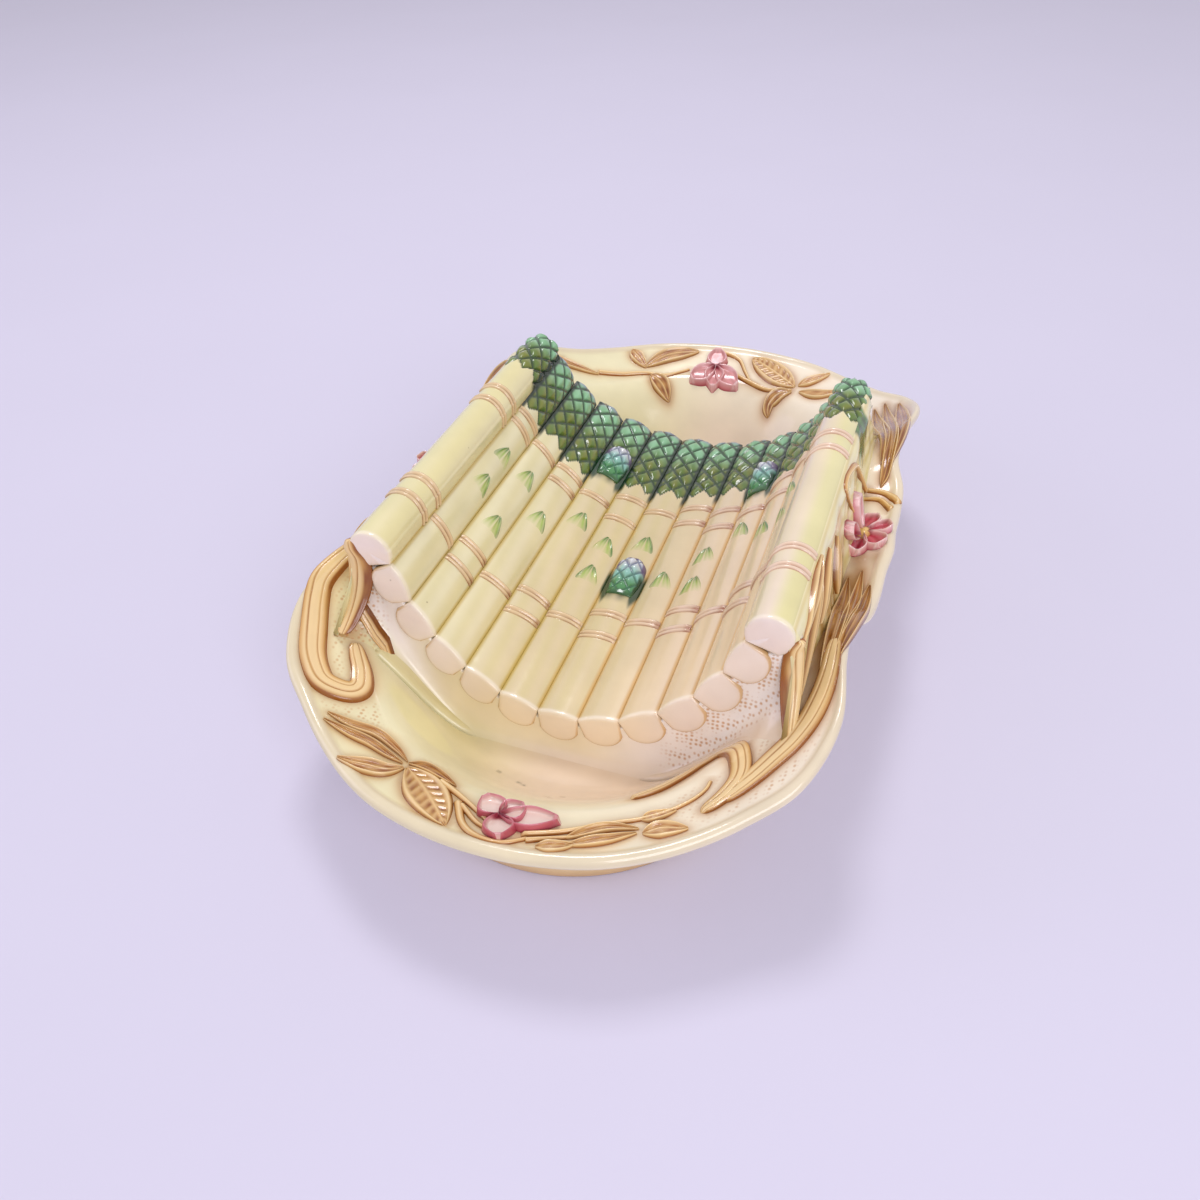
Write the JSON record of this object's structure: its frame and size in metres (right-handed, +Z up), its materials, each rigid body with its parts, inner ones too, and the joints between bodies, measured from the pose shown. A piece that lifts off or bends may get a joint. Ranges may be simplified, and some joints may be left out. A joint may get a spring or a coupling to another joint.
{
  "type": "asparagus plate",
  "caption": "Glazed earthenware dish with a scalloped lip, a foot ring and a raised cradle of moulded asparagus spears, with sprigged flowers and leaves on its flange",
  "frame": {"origin": "on the table, under the middle of the dish's outline", "axes": "X runs across the spears to the right flank, Y runs along the spears from the cut ends to the tips, Z is up"},
  "size_m": [0.225, 0.37, 0.0995],
  "materials": {
    "cream_glaze": "glossy cream lead glaze",
    "foot_glaze": "glossy tan cream glaze",
    "blush_glaze": "glossy blush cream glaze",
    "lime_glaze": "glossy yellow green cream glaze",
    "spear_glaze": "glossy warm cream glaze",
    "tan_glaze": "glossy tan glaze",
    "green_glaze": "glossy green glaze",
    "pink_glaze": "glossy pink glaze",
    "ochre_glaze": "glossy ochre and brown glaze"
  },
  "bodies": {
    "root": {"dish": "cream_glaze", "foot_ring": "foot_glaze", "bed_slab": "foot_glaze", "front_wall": "blush_glaze", "back_wall": "blush_glaze", "left_flank": "lime_glaze", "right_flank": "lime_glaze", "spear_01": "lime_glaze", "spear_02": "lime_glaze", "spear_03": "lime_glaze", "spear_04": "lime_glaze", "spear_05": "lime_glaze", "spear_06": "lime_glaze", "spear_07": "spear_glaze", "spear_08": "spear_glaze", "spear_09": "spear_glaze", "spear_10": "spear_glaze", "spear_11": "spear_glaze", "spear_12": "spear_glaze", "spear_13": "spear_glaze", "front_ties": "tan_glaze", "back_ties": "tan_glaze", "left_bracts": "green_glaze", "middle_bracts": "green_glaze", "right_bracts": "green_glaze", "left_short_tip": "green_glaze", "middle_short_tip": "green_glaze", "right_short_tip": "green_glaze", "right_flower": "pink_glaze", "left_flower": "pink_glaze", "front_flower": "pink_glaze", "back_flower": "pink_glaze", "front_leaf_spray": "ochre_glaze", "front_bud_spray": "ochre_glaze", "back_leaf_spray": "ochre_glaze", "back_bud_spray": "ochre_glaze", "left_hook_strap": "ochre_glaze", "right_loop_strap": "ochre_glaze", "right_long_strap": "ochre_glaze", "right_side_blades": "ochre_glaze", "left_side_blades": "ochre_glaze", "right_back_sheaf": "ochre_glaze", "left_back_sheaf": "ochre_glaze", "flower_stems": "ochre_glaze"}
  },
  "joints": []
}
